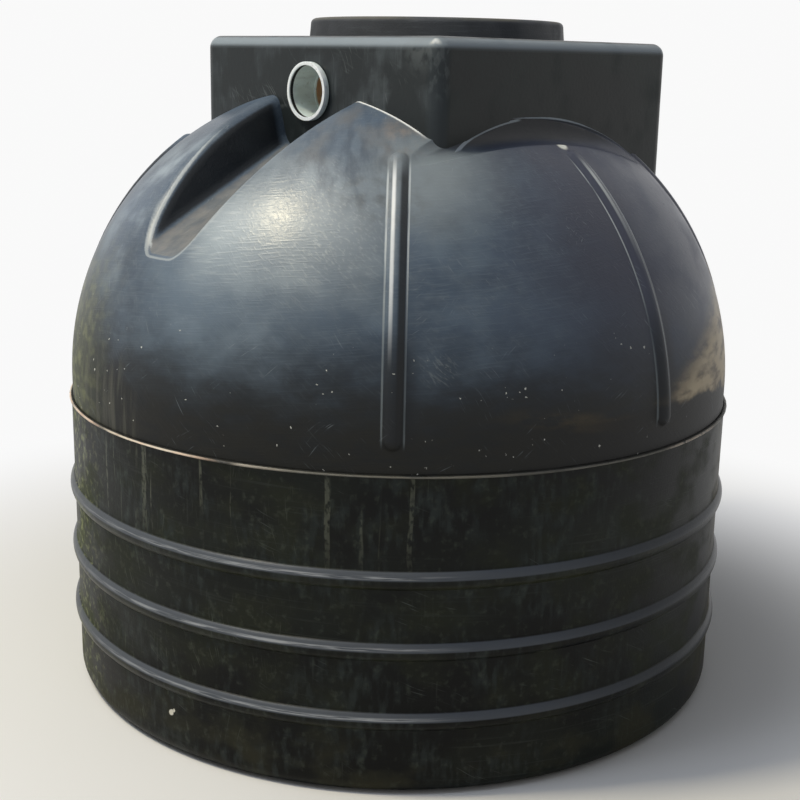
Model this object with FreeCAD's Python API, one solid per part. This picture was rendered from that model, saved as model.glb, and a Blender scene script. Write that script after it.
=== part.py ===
"""Rotomoulded septic tank: a ribbed round chamber, a ribbed dome and a square shaft with pipe sockets.

Frame: origin on the tank's axis at its underside, +Z up, +X from the inlet to the outlet.
Sizes are in millimetres. Heights without another name are above the underside.
"""
import FreeCAD, Part
import math
import os

# Chamber
tank_radius = 775.0
wall = 8.0
bottom_edge_radius = 32.0
seam_height = 667.0
lowest_hoop_height = 162.0
hoop_pitch = 148.5
hoop_count = 3
hoop_width = 40.0
hoop_depth = 11.0
panel_count = 8

# Flash ridge where the two mould halves met
seam_depth = 6.0
seam_thickness = 7.0
seam_bevel = 1.5

# Dome, its rise and its crown's radius as shares of the tank's radius
dome_step = 3.0
skirt_height = 45.0
rise_share = 0.9484
crown_share = 1.1613

# Half-round ribs over the dome; the troughs take the places at 0 and 180 degrees
rib_width = 42.0
rib_depth = 12.0
rib_top_share = 0.645
rib_foot_height = 70.0
rib_top_sink = 5.0
rib_azimuths = (45.0, 90.0, 135.0, 225.0, 270.0, 315.0)

# Shaft, set off the tank's axis towards the outlet
shaft_side = 773.0
shaft_offset = 104.0
shaft_upstand = 73.0
shaft_edge_radius = 35.0
shaft_rim_radius = 28.0
shaft_root = 108.0
shaft_cap_depth = 42.0

# Dips in the dome along the shaft's side faces: a bent round cut that lifts off at both ends
dip_radius = 60.0
dip_distance = 66.5
dip_bend_radius = 1300.0
dip_depth = 22.0
dip_shift = -60.0
dip_yaw = 6.0
dip_sweep = 50.0

# Pipe troughs down the dome
trough_width = 154.0
trough_end_width = 112.0
trough_taper_length = 400.0
trough_length = 600.0
trough_slope = 0.5
trough_draft = 0.30
trough_near_draft = 0.60
trough_corner_radius = 40.0
trough_rim_radius = 28.0
trough_floor_drop = 123.0

# Manhole
manhole_radius = 260.0
neck_wall = 9.0
neck_height = 33.0
cover_radius = 297.0
cover_height = 43.0
cover_skirt = 12.0
cover_edge_radius = 12.0
cover_taper = 3.0
cover_clearance = 0.5

# Pipes, double sockets and bends
pipe_radius = 55.0
pipe_wall = 3.2
pipe_clearance = 0.3
inlet_depth = 117.0
outlet_drop = 30.0
socket_radius = 59.0
socket_clearance = 0.3
socket_projection = 15.0
socket_depth = 72.0
socket_tail = 38.0
rim_radius = 62.5
rim_length = 13.0
stop_thickness = 4.0
seal_setback = 3.0
seal_width = 8.0
seal_depth = 3.2
bend_radius = 80.0
bend_run = 12.0
bend_tail = 30.0
dip_pipe_length = 282.0
dip_pipe_overlap = 22.0

# Names of the upper body's panels, anticlockwise from the inlet
dome_names = ("dome_inlet", "dome_corner_1", "dome_left", "dome_corner_2",
              "dome_outlet", "dome_corner_3", "dome_right", "dome_corner_4")
shaft_names = ("shaft_inlet_wall", "shaft_left_wall", "shaft_outlet_wall", "shaft_right_wall")

tolerance = 0.01
UP = FreeCAD.Vector(0, 0, 1)
ALONG = FreeCAD.Vector(1, 0, 0)
ORIGIN = FreeCAD.Vector(0, 0, 0)
FULL_TURN = 360.0
FAR = 3 * tank_radius

dome_radius = tank_radius - dome_step
dome_rise = rise_share * tank_radius
crown_radius = crown_share * tank_radius
rib_top_radius = rib_top_share * tank_radius
shaft_height = seam_height + dome_rise + shaft_upstand
shaft_foot_height = seam_height + skirt_height + shaft_root
inlet_height = shaft_height - inlet_depth
inlet_face = shaft_offset - shaft_side / 2
outlet_face = shaft_offset + shaft_side / 2
outlet_height = inlet_height - outlet_drop
shaft_cap_height = shaft_height - shaft_cap_depth


def vec(x, y, z):
    return FreeCAD.Vector(x, y, z)


def line(a, b):
    return Part.LineSegment(vec(*a), vec(*b)).toShape()


def arc(a, middle, b):
    return Part.Arc(vec(*a), vec(*middle), vec(*b)).toShape()


def on_circle(centre_x, centre_z, radius, angle):
    turn = math.radians(angle)
    return (centre_x + radius * math.cos(turn), 0, centre_z + radius * math.sin(turn))


def turned(edges, azimuth=0.0, span=FULL_TURN):
    """Solid swept by a closed outline in the XZ plane, turned about the tank's axis."""
    section = Part.Face(Part.Wire(Part.__sortEdges__(edges)))
    section.rotate(ORIGIN, UP, azimuth)
    return section.revolve(ORIGIN, UP, span)


def bead_radius(width, depth):
    """Radius of a round bead that is width across and stands depth out of its wall."""
    return (width**2 / 4 + depth**2) / (2 * depth)


def along_x(radius, low_x, high_x, height):
    return Part.makeCylinder(radius, high_x - low_x, vec(low_x, 0, height), ALONG)


def upright(radius, low, high, x=0.0):
    return Part.makeCylinder(radius, high - low, vec(x, 0, low), UP)


def mirrored(shape):
    return shape.mirror(ORIGIN, ALONG)


def wall_line(inset):
    """Edges of the chamber's outline from the flat bottom up to the seam, moved inwards by inset."""
    side = tank_radius - inset
    corner_x = tank_radius - bottom_edge_radius
    corner = [on_circle(corner_x, bottom_edge_radius, bottom_edge_radius - inset, a) for a in (-90, -45, 0)]
    edges = [arc(*corner)]
    here = corner[-1]
    bead = bead_radius(hoop_width, hoop_depth)
    centre_x = tank_radius + hoop_depth - bead
    reach = math.sqrt((bead - inset)**2 - (side - centre_x)**2)
    for index in range(hoop_count):
        height = lowest_hoop_height + index * hoop_pitch
        low = (side, 0, height - reach)
        high = (side, 0, height + reach)
        edges.append(line(here, low))
        edges.append(arc(low, (centre_x + bead - inset, 0, height), high))
        here = high
    edges.append(line(here, (side, 0, seam_height)))
    return edges


def chamber():
    """The flat floor and the corrugated panels of the round wall."""
    corner_x = tank_radius - bottom_edge_radius
    nodes = {"tank_floor": upright(corner_x, 0, wall)}
    outline = wall_line(0) + wall_line(wall)
    outline.append(line((corner_x, 0, 0), (corner_x, 0, wall)))
    outline.append(line((tank_radius - wall, 0, seam_height), (tank_radius, 0, seam_height)))
    span = FULL_TURN / panel_count
    for index in range(panel_count):
        nodes["lower_wall_%d" % (index + 1)] = turned(outline, 180 + (index - 0.5) * span, span)
    return nodes


def mould_seam():
    low = seam_height - seam_thickness / 2
    high = seam_height + seam_thickness / 2
    outer = tank_radius + seam_depth
    corners = [(tank_radius, 0, low), (outer, 0, low + seam_bevel),
               (outer, 0, high - seam_bevel), (tank_radius, 0, high)]
    return turned([line(a, b) for a, b in zip(corners, corners[1:] + corners[:1])])


def shoulder():
    """Centre and radius of the shoulder arc, tangent to skirt and crown, and the crown's centre."""
    crown_centre = seam_height + dome_rise - crown_radius
    skirt_top = seam_height + skirt_height
    lift = skirt_top - crown_centre
    radius = (crown_radius**2 - dome_radius**2 - lift**2) / (2 * (crown_radius - dome_radius))
    return dome_radius - radius, skirt_top, radius, crown_centre


def dome_form(inset):
    """Solid dome down to the seam, its surface moved inwards by inset."""
    side = dome_radius - inset
    centre_x, centre_z, radius, crown_centre = shoulder()
    tangent = math.degrees(math.atan2(centre_z - crown_centre, centre_x))
    low = seam_height - inset
    shoulder_arc = [on_circle(centre_x, centre_z, radius - inset, a) for a in (0, tangent / 2, tangent)]
    crown_arc = [on_circle(0, crown_centre, crown_radius - inset, a) for a in (tangent, (tangent + 90) / 2, 90)]
    edges = [line((0, 0, low), (side, 0, low)), line((side, 0, low), shoulder_arc[0]),
             arc(*shoulder_arc), arc(shoulder_arc[2], crown_arc[1], crown_arc[2]),
             line(crown_arc[2], (0, 0, low))]
    return turned(edges, FULL_TURN / len(dome_names) / 2)


def meridian_rib(azimuth, inset):
    """Half-round rib over the dome's shoulder: a bent bar with ball ends, sunk deeper towards its top."""
    centre_x, centre_z, radius, _ = shoulder()
    centre_z -= rib_top_sink
    bar = bead_radius(rib_width, rib_depth)
    path = radius + rib_depth - bar
    foot_turn = math.degrees(math.asin((seam_height + rib_foot_height - centre_z) / path))
    top_turn = math.degrees(math.acos((rib_top_radius - centre_x) / path))
    foot, top = (vec(*on_circle(centre_x, centre_z, path, a)) for a in (foot_turn, top_turn))
    tangent = vec(-math.sin(math.radians(foot_turn)), 0, math.cos(math.radians(foot_turn)))
    disc = Part.Face(Part.Wire(Part.makeCircle(bar - inset, foot, tangent)))
    bent = disc.revolve(vec(centre_x, 0, centre_z), vec(0, -1, 0), top_turn - foot_turn)
    rib = bent.fuse([Part.makeSphere(bar - inset, foot), Part.makeSphere(bar - inset, top)])
    rib.rotate(ORIGIN, UP, azimuth)
    return rib


def trough_section(x, near_half, far_half, floor):
    """Wire across a trough at x: a flat floor and two drafted walls that end above the dome."""
    depth = shaft_height - seam_height
    near_top = near_half + trough_near_draft * depth
    far_top = far_half + trough_draft * depth
    corners = [(x, -near_half, floor), (x, far_half, floor), (x, far_top, floor + depth), (x, -near_top, floor + depth)]
    return Part.makePolygon([vec(*p) for p in corners + corners[:1]])


def trough(face_x, floor_height, inset):
    """Channel for a pipe that leaves a shaft face towards -X: it narrows as it runs down the dome."""
    slant = math.sqrt(1 + trough_slope**2)
    near_spread, far_spread = (
        inset * (math.sqrt(1 + draft**2) - draft * slant) for draft in (trough_near_draft, trough_draft))
    lead = 2 * trough_corner_radius
    taper = (trough_width - trough_end_width) / trough_taper_length
    sections = []
    for distance in (-lead, trough_length):
        half = (trough_width - taper * distance) / 2
        floor = floor_height - trough_slope * distance - inset * slant
        sections.append(trough_section(face_x - distance, half + near_spread, half + far_spread, floor))
    channel = Part.makeLoft(sections, True, True)
    middle = floor_height - trough_slope * (trough_length - lead) / 2
    floor_edges = [e for e in channel.Edges if e.Length > trough_length and e.CenterOfMass.z < middle + lead]
    return channel.makeFillet(trough_corner_radius + inset, floor_edges)


def cut_inlet_trough(form, inset):
    """Cut the deep trough of the inlet and round the rim between its walls and the dome."""
    cut = form.cut(trough(inlet_face, inlet_height - trough_floor_drop, inset))
    rim = []
    for edge in cut.Edges:
        faces = cut.ancestorsOfType(edge, Part.Face)
        kinds = {type(face.Surface) for face in faces}
        on_dome = kinds & {Part.SurfaceOfRevolution, Part.Sphere, Part.Toroid}
        in_trough = kinds & {Part.Plane, Part.Cylinder, Part.BSplineSurface}
        middle = edge.CenterOfMass
        outside = middle.x < inlet_face - wall and middle.z > seam_height + skirt_height
        if on_dome and in_trough and outside:
            rim.append(edge)
    return cut.makeFillet(trough_rim_radius - inset, rim)


def side_dip(side, inset):
    """Bent round cut across the dome in front of a side face of the shaft."""
    y = shaft_side / 2 + dip_distance
    centre_z = seam_height + dome_rise - crown_radius
    surface = centre_z + math.sqrt(crown_radius**2 - y**2)
    axis_height = surface - dip_depth + dip_radius
    ring = vec(dip_shift, y, axis_height - dip_bend_radius)
    half = math.radians(dip_sweep / 2)
    start = ring + vec(math.sin(half), 0, math.cos(half)) * dip_bend_radius
    disc = Part.Face(Part.Wire(Part.makeCircle(dip_radius + inset, start, vec(math.cos(half), 0, -math.sin(half)))))
    cut = disc.revolve(ring, vec(0, -1, 0), dip_sweep)
    cut.rotate(vec(0, y, 0), UP, dip_yaw)
    return cut if side > 0 else cut.mirror(ORIGIN, vec(0, 1, 0))


def shaft_form(inset):
    """Solid square shaft with rounded upright edges and a rounded rim, moved inwards by inset."""
    side = shaft_side - 2 * inset
    top = shaft_height - inset
    corner = vec(shaft_offset - side / 2, -side / 2, shaft_foot_height)
    block = Part.makeBox(side, side, top - shaft_foot_height, corner)
    uprights = [e for e in block.Edges if abs(e.Vertexes[0].Z - e.Vertexes[-1].Z) > tolerance]
    block = block.makeFillet(shaft_edge_radius - inset, uprights)
    rim = [e for e in block.Edges if all(abs(v.Z - top) < tolerance for v in e.Vertexes)]
    return block.makeFillet(shaft_rim_radius - inset, rim)


def upper_form(inset):
    """The dome with its troughs, dips and ribs, and the shaft, as one solid moved inwards by inset."""
    form = cut_inlet_trough(dome_form(inset), inset)
    outlet_trough = mirrored(trough(-outlet_face, outlet_height - trough_floor_drop, inset))
    form = form.cut([outlet_trough, side_dip(-1, inset), side_dip(1, inset)])
    form = form.fuse([meridian_rib(azimuth, inset) for azimuth in rib_azimuths])
    return form.fuse(shaft_form(inset))


def sector(centre_x, azimuth, span, low, high):
    """Prism over a sector of a circle that is larger than the tank."""
    points = [vec(centre_x, 0, low)]
    for turn in (-span / 2, 0, span / 2):
        a = math.radians(azimuth + turn)
        points.append(vec(centre_x + FAR * math.cos(a), FAR * math.sin(a), low))
    return Part.Face(Part.makePolygon(points + points[:1])).extrude(vec(0, 0, high - low))


def upper_shell():
    """The hollow dome and shaft, cut into the panels that the model keeps apart."""
    shell = upper_form(0).cut(upper_form(wall))
    hole = socket_radius + socket_clearance
    shell = shell.cut([along_x(hole, inlet_face - wall, inlet_face + 2 * wall, inlet_height),
                       along_x(hole, outlet_face - 2 * wall, outlet_face + wall, outlet_height),
                       upright(manhole_radius, shaft_cap_height, shaft_height + wall, shaft_offset)])
    prism = shaft_form(0)
    shaft = shell.common(prism)
    dome = shell.cut(prism)
    nodes = {}
    span = FULL_TURN / len(dome_names)
    for index, name in enumerate(dome_names):
        nodes[name] = dome.common(sector(0, 180 + index * span, span, seam_height - wall, shaft_height + wall))
    span = FULL_TURN / len(shaft_names)
    for index, name in enumerate(shaft_names):
        nodes[name] = shaft.common(
            sector(shaft_offset, 180 + index * span, span, shaft_foot_height, shaft_cap_height))
    nodes["shaft_top"] = shaft.cut(upright(FAR, 0, shaft_cap_height))
    return nodes


def manhole_neck():
    top = shaft_height + neck_height
    outer = upright(manhole_radius + neck_wall, shaft_height, top, shaft_offset)
    return outer.cut(upright(manhole_radius, shaft_height, top, shaft_offset))


def manhole_cover():
    """Shallow cap that hangs over the neck and rests on its rim."""
    low = shaft_height + cover_clearance
    high = shaft_height + cover_height
    plate_low = shaft_height + neck_height
    inner = cover_radius - cover_skirt
    side = cover_radius - cover_taper
    edge = cover_edge_radius
    bend = [on_circle(side - edge, high - edge, edge, a) for a in (0, 45, 90)]
    corners = [bend[2], (0, 0, high), (0, 0, plate_low), (inner, 0, plate_low),
               (inner, 0, low), (cover_radius, 0, low), bend[0]]
    cover = turned([line(a, b) for a, b in zip(corners, corners[1:])] + [arc(*bend)])
    cover.translate(vec(shaft_offset, 0, 0))
    return cover


def bend_bar(start_x, turn_x, height, radius):
    """Bar that runs along +X, turns down through a quarter and runs on for a short tail."""
    run = along_x(radius, start_x, turn_x, height)
    disc = Part.Face(Part.Wire(Part.makeCircle(radius, vec(turn_x, 0, height), ALONG)))
    turn = disc.revolve(vec(turn_x, 0, height - bend_radius), vec(0, 1, 0), 90)
    tail_top = height - bend_radius
    return run.fuse([turn, upright(radius, tail_top - bend_tail, tail_top, turn_x + bend_radius)])


def pipe_set(prefix, face_x, height):
    """Double socket through a wall that faces -X, with its seal, bend and dip pipe."""
    mouth = face_x - socket_projection
    stop = mouth + socket_depth
    back = stop + stop_thickness + socket_tail
    bore = pipe_radius + pipe_clearance
    inside = pipe_radius - pipe_wall
    tube = along_x(socket_radius, mouth, back, height).fuse(along_x(rim_radius, mouth, mouth + rim_length, height))
    tube = tube.cut([along_x(bore, mouth, stop, height), along_x(inside, stop, back, height),
                     along_x(bore, stop + stop_thickness, back, height)])
    seal_start = mouth + seal_setback
    groove = along_x(bore + seal_depth, seal_start, seal_start + seal_width, height)
    seal = groove.cut(along_x(bore, seal_start, seal_start + seal_width, height))
    turn_x = back + bend_run
    start_x = stop + stop_thickness
    bend = bend_bar(start_x, turn_x, height, pipe_radius).cut(bend_bar(start_x, turn_x, height, inside))
    drop_x = turn_x + bend_radius
    dip_top = height - bend_radius - bend_tail + dip_pipe_overlap
    dip_low = dip_top - dip_pipe_length
    dip = upright(socket_radius, dip_low, dip_top, drop_x)
    dip = dip.cut([upright(bore, dip_top - dip_pipe_overlap, dip_top, drop_x),
                   upright(inside, dip_low, dip_top, drop_x)])
    return {prefix + "_socket": tube.cut(seal), prefix + "_seal": seal,
            prefix + "_bend": bend, prefix + "_dip_pipe": dip}


def all_nodes():
    nodes = chamber()
    nodes["mould_seam"] = mould_seam()
    nodes.update(upper_shell())
    nodes["manhole_neck"] = manhole_neck()
    nodes["manhole_cover"] = manhole_cover()
    nodes.update(pipe_set("inlet", inlet_face, inlet_height))
    outlet = pipe_set("outlet", -outlet_face, outlet_height)
    nodes.update({name: mirrored(shape) for name, shape in outlet.items()})
    return nodes


os.makedirs("parts", exist_ok=True)
for name, shape in all_nodes().items():
    shape.removeSplitter().exportStep("parts/%s.step" % name)
    print(name, "solids", len(shape.Solids), "volume %.1f cm3" % (shape.Volume / 1000), shape.isValid())
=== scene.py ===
import bpy
import math
import random
from mathutils import Euler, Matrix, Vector


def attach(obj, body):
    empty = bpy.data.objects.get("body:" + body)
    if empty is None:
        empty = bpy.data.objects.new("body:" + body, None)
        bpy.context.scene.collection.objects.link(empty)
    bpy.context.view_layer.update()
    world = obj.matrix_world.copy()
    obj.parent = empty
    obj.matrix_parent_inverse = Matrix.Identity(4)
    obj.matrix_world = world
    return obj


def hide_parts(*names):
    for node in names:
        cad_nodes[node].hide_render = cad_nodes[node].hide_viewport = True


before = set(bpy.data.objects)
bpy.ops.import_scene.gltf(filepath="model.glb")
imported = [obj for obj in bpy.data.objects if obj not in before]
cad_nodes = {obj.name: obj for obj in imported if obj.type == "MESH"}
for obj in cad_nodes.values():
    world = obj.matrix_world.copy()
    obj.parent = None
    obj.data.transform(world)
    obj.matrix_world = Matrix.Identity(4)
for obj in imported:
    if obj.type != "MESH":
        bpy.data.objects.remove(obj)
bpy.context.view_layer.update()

# Lower chamber: a round drum 1.55 m across with three hoop ribs, one rotomoulding of black
# polyethylene. Soil has rubbed its skin matt and brown-green, rain has run down from the seam,
# and the crests of the hoops carry a painted sheen and a painted highlight.
chamber_nodes = ["tank_floor"] + ["lower_wall_%d" % i for i in range(1, 9)]
tank_radius = 0.775
polyethylene_ior = 1.51


def linear(hex_colour):
    """Linear RGBA of an sRGB hex colour."""
    channels = [int(hex_colour[i:i + 2], 16) / 255 for i in (1, 3, 5)]
    return [c / 12.92 if c <= 0.04045 else ((c + 0.055) / 1.055) ** 2.4 for c in channels] + [1.0]


def add(tree, kind, inputs, **settings):
    """Add a node with its settings; an input is a value, or a (node, output) pair to link from."""
    made = tree.nodes.new(kind)
    for key, value in settings.items():
        setattr(made, key, value)
    for key, value in inputs.items():
        if isinstance(value, tuple) and isinstance(value[0], bpy.types.Node):
            tree.links.new(value[0].outputs[value[1]], made.inputs[key])
        else:
            made.inputs[key].default_value = value
    return made


def plastic(name, ior, specular):
    """A new material with a principled shader and nothing linked to it yet."""
    material = bpy.data.materials.new(name)
    material.use_nodes = True
    tree = material.node_tree
    shader = tree.nodes["Principled BSDF"]
    shader.inputs["IOR"].default_value = ior
    shader.inputs["Specular IOR Level"].default_value = specular
    return material, tree, shader


def skin_place(tree):
    """Place on the round skin in metres: X along the wall from its front, Y height, Z radius."""
    here = add(tree, "ShaderNodeTexCoord", {})
    front = add(tree, "ShaderNodeVectorRotate", {"Vector": (here, "Object"), "Angle": math.radians(135)},
                rotation_type="Z_AXIS")
    axes = add(tree, "ShaderNodeSeparateXYZ", {"Vector": (front, "Vector")})
    turn = add(tree, "ShaderNodeMath", {0: (axes, "Y"), 1: (axes, "X")}, operation="ARCTAN2")
    along = add(tree, "ShaderNodeMath", {0: (turn, 0), 1: tank_radius}, operation="MULTIPLY")
    flat = add(tree, "ShaderNodeCombineXYZ", {"X": (axes, "X"), "Y": (axes, "Y")})
    radius = add(tree, "ShaderNodeVectorMath", {0: (flat, 0)}, operation="LENGTH")
    place = add(tree, "ShaderNodeCombineXYZ", {"X": (along, 0), "Y": (axes, "Z"), "Z": (radius, "Value")})
    return (place, "Vector"), add(tree, "ShaderNodeSeparateXYZ", {"Vector": (place, "Vector")})


def grain(tree, place, cell, shift, tilt, detail):
    """Soft random grain from 0 to 1; cell is the size of one grain in millimetres."""
    tilted = add(tree, "ShaderNodeVectorRotate", {"Vector": place, "Angle": math.radians(tilt)},
                 rotation_type="Z_AXIS")
    stretched = add(tree, "ShaderNodeMapping", {"Vector": (tilted, "Vector"),
                                                "Location": (shift, shift, shift),
                                                "Scale": [1000 / size for size in cell]})
    noise = add(tree, "ShaderNodeTexNoise", {"Vector": (stretched, "Vector"), "Scale": 1.0, "Detail": detail})
    return (noise, "Fac")


def ramp(tree, value, low, high):
    """0 up to low, 1 from high on, and a soft step between; low may be the larger one."""
    step = add(tree, "ShaderNodeMapRange", {"Value": value, "From Min": low, "From Max": high},
               interpolation_type="SMOOTHSTEP")
    return (step, "Result")


def bent(tree, place, wave, reach):
    """The place shifted by waves of a length and reach in millimetres, so that straight marks curve."""
    waves = add(tree, "ShaderNodeTexNoise", {"Vector": place, "Scale": 1000 / wave, "Detail": 1.0})
    centred = add(tree, "ShaderNodeVectorMath", {0: (waves, "Color"), 1: (0.5, 0.5, 0.5)},
                  operation="SUBTRACT")
    moved = add(tree, "ShaderNodeVectorMath", {0: (centred, 0), 1: [reach / 500] * 3, 2: place},
                operation="MULTIPLY_ADD")
    return (moved, 0)


def marks(tree, place, cell, low, high, shift=0.0, tilt=0.0, detail=4.0):
    """Marks from 0 to 1, where the grain passes low; shift gives each kind a pattern of its own."""
    return ramp(tree, grain(tree, place, cell, shift, tilt, detail), low, high)


def both(tree, *masks):
    """Masks multiplied together."""
    result = masks[0]
    for mask in masks[1:]:
        result = (add(tree, "ShaderNodeMath", {0: result, 1: mask}, operation="MULTIPLY", use_clamp=True), 0)
    return result


def between(tree, value, low, rise, fall, high):
    """1 where a value lies between rise and fall, and 0 beyond low and high."""
    return both(tree, ramp(tree, value, low, rise), ramp(tree, value, high, fall))


def spot(tree, here, centre, core, reach):
    """1 within core of a point and 0 beyond reach, in metres."""
    away = add(tree, "ShaderNodeVectorMath", {0: here, 1: centre}, operation="DISTANCE")
    return ramp(tree, (away, "Value"), reach, core)


def layered(tree, colour, layers):
    """Lay films over a colour in turn; each has a hex colour, a strength and masks that multiply."""
    under, over, mixed = 6, 7, 2
    colour = linear(colour)
    for film, strength, *masks in layers:
        cover = both(tree, *masks, strength)
        mix = add(tree, "ShaderNodeMix", {0: cover, under: colour, over: linear(film)}, data_type="RGBA")
        colour = (mix, mixed)
    return colour


def wire(tree, shader, colour, rough, normal):
    """Link a finished colour, roughness and surface direction to the shader."""
    tree.links.new(colour[0].outputs[colour[1]], shader.inputs["Base Color"])
    tree.links.new(rough[0].outputs[rough[1]], shader.inputs["Roughness"])
    tree.links.new(normal[0].outputs[normal[1]], shader.inputs["Normal"])


def dress(material, names):
    """Give the named pieces a material in place of their own."""
    for name in names:
        mesh = cad_nodes[name].data
        mesh.materials.clear()
        mesh.materials.append(material)


# Rotomoulded polyethylene that has been buried: its satin black is matt with earth, so the eye sees
# a green-brown black with dry runs and pale rubs. Rubs and scores are under 1 mm wide in life and
# are drawn 3 to 5 mm wide, so that they show.
chamber_skin, tree, shader = plastic("soil_worn_black_polyethylene", polyethylene_ior, 0.14)
place, axes = skin_place(tree)
along, height, radius = (axes, "X"), (axes, "Y"), (axes, "Z")
here = (add(tree, "ShaderNodeTexCoord", {}), "Object")
facing = add(tree, "ShaderNodeSeparateXYZ", {"Vector": (add(tree, "ShaderNodeNewGeometry", {}), "Normal")})
facing_z = (facing, "Z")
wavy = bent(tree, place, 200, 40)
ripple = bent(tree, place, 90, 5)

# Earth that stuck to the skin, and how it was rubbed off again.
cloud = marks(tree, place, (300, 220, 300), 0.40, 0.68)
earth = marks(tree, place, (120, 90, 120), 0.44, 0.70, shift=4.0, detail=9.0)
crumbs = marks(tree, place, (14, 14, 14), 0.50, 0.72, shift=14.0, detail=6.0)
worked = marks(tree, ripple, (14, 44, 100), 0.40, 0.68, shift=33.0, detail=7.0)
worked_patch = marks(tree, place, (120, 100, 100), 0.42, 0.62, shift=36.0)
worn_and_lit_side = between(tree, along, -1.2, -0.55, 0.22, 0.75)
dusty_side = between(tree, along, 0.82, 1.0, 1.15, 1.7)
foot = ramp(tree, height, 0.22, 0.02)

# Lime runs under the seam, and lichen on the shaded side.
runs = marks(tree, ripple, (15, 800, 100), 0.57, 0.62, shift=9.0, detail=1.0)
run_patch = marks(tree, place, (100, 600, 100), 0.46, 0.54, shift=2.0)
broken = marks(tree, place, (8, 14, 100), 0.34, 0.56, shift=3.0)
under_seam = between(tree, height, 0.42, 0.60, 0.70, 0.72)
lichen_side = between(tree, along, -1.8, -1.3, -0.95, -0.68)

# Rubs and scores from lowering and backfilling, and one flake knocked off near the foot.
rubs = marks(tree, place, (210, 5, 50), 0.56, 0.74, shift=5.0, tilt=2.0)
upright_rubs = marks(tree, place, (5, 160, 50), 0.58, 0.74, shift=15.0)
scores = marks(tree, wavy, (90, 3, 100), 0.62, 0.72, shift=7.0, tilt=24.0)
down_scores = marks(tree, wavy, (3, 80, 100), 0.62, 0.72, shift=27.0, tilt=-7.0)
score_patch = marks(tree, place, (110, 90, 100), 0.54, 0.66, shift=6.0)
flake_edge = bent(tree, here, 12, 5)
flake = spot(tree, flake_edge, (-0.7650, -0.1215, 0.0935), 0.005, 0.008)
flake_tail = spot(tree, flake_edge, (-0.7640, -0.1300, 0.1000), 0.003, 0.005)

# Crests of the hoops: known by their radius, with a painted sky sheen on top, a brighter painted
# highlight line on the lit side, and olive on the face below.
crest = ramp(tree, radius, 0.7758, 0.7785)
lit_crest = both(tree, crest, between(tree, facing_z, 0.04, 0.18, 0.74, 0.94))
crest_highlight = both(tree, crest, between(tree, facing_z, 0.16, 0.28, 0.36, 0.54),
                    marks(tree, place, (70, 3, 3), 0.36, 0.62, shift=8.0),
                    between(tree, along, -1.1, -0.20, -0.04, 0.18))
under_crest = both(tree, ramp(tree, radius, 0.7755, 0.777), ramp(tree, facing_z, -0.15, -0.6))

colour = layered(tree, "#050605", [
    ("#171b16", 0.85, cloud),
    ("#272a21", 0.70, earth),
    ("#393c30", 0.50, earth, crumbs),
    ("#2f3635", 0.65, worked, worked_patch, worn_and_lit_side),
    ("#444a42", 0.45, worked, crumbs, worn_and_lit_side),
    ("#5c5f54", 0.75, runs, run_patch, broken, under_seam, ramp(tree, along, 0.20, 0.0)),
    ("#444a2c", 0.85, lichen_side, earth),
    ("#8a8f66", 0.80, lichen_side, crumbs),
    ("#2c2714", 0.85, dusty_side, cloud),
    ("#8d7d45", 0.55, dusty_side, crumbs, earth, cloud),
    ("#302e22", 0.60, foot, earth),
    ("#2f332f", 0.70, rubs, cloud),
    ("#3a3e3a", 0.50, upright_rubs, score_patch),
    ("#5c625f", 0.55, scores, score_patch),
    ("#63695f", 0.60, down_scores, ramp(tree, along, 0.1, -0.5), earth),
    ("#2c2d16", 0.55, under_crest, cloud),
    # Painted sky sheen on the upper face of the hoops, stronger on the lit side, and a painted highlight.
    ("#31363d", 0.70, lit_crest),
    ("#5b6068", 0.70, lit_crest, worn_and_lit_side),
    ("#b4b8bd", 0.75, crest_highlight),
    ("#e4e1d4", 0.95, flake),
    ("#e4e1d4", 0.95, flake_tail)])
rough_earth = add(tree, "ShaderNodeMapRange", {"Value": earth, "To Min": 0.46, "To Max": 0.70})
rough = add(tree, "ShaderNodeMix", {0: crest, 2: (rough_earth, "Result"), 3: 0.34}, data_type="FLOAT")
pebble = grain(tree, place, (6, 6, 6), 0.0, 0.0, 3.0)
relief = add(tree, "ShaderNodeMath", {0: rubs, 1: pebble}, operation="ADD")
bump = add(tree, "ShaderNodeBump", {"Strength": 0.16, "Distance": 0.002, "Height": (relief, 0)})
wire(tree, shader, colour, (rough, 0), (bump, "Normal"))
dress(chamber_skin, chamber_nodes)

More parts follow.
